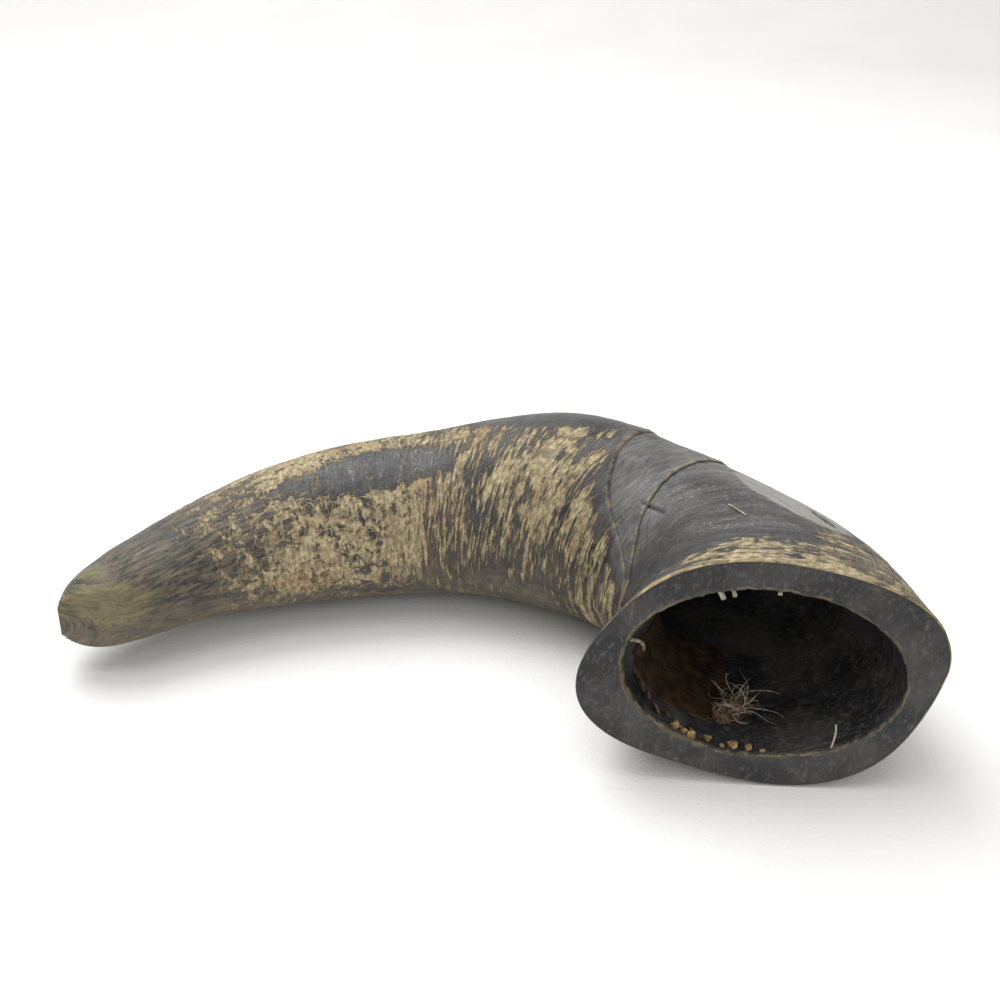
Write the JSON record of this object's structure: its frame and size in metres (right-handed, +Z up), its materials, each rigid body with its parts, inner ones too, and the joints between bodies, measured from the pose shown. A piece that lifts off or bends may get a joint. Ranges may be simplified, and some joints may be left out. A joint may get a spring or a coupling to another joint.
{
  "type": "shofar",
  "caption": "Raw hollow curved animal horn, sawn off at the bell and drilled at the blunt tip, blown as a horn when held to the lips.",
  "frame": {"origin": "on the surface that the horn lies on, under the middle of its box", "axes": "+X towards the bell, -X towards the tip, +Y towards the back of the bend, +Z up as it lies on its side"},
  "size_m": [0.2066, 0.1149, 0.0523],
  "materials": {
    "horn_base": "horn: rough dry crust over a dark, half-polished skin; sawn end matte",
    "horn_middle": "horn: smooth grey skin with fine cracks",
    "horn_tip": "horn: dark polished skin under cream ragged streaks",
    "membrane": "dried, stiff, half-translucent",
    "flake": "torn edge of horn",
    "tissue": "dried, crumbly",
    "fibre": "dry hair",
    "burr": "torn by the saw"
  },
  "bodies": {
    "root": {"base_growth_cone": "horn_base", "middle_growth_cone": "horn_middle", "tip_growth_cone": "horn_tip", "membrane_remnant": "membrane", "membrane_strand": "membrane", "keratin_flakes": "flake", "tissue_crumbs": "tissue", "tuft_root": "tissue", "tuft_fibres": "fibre", "hooked_fibre": "fibre", "edge_burrs": "burr", "stray_fibre": "fibre"}
  },
  "joints": []
}
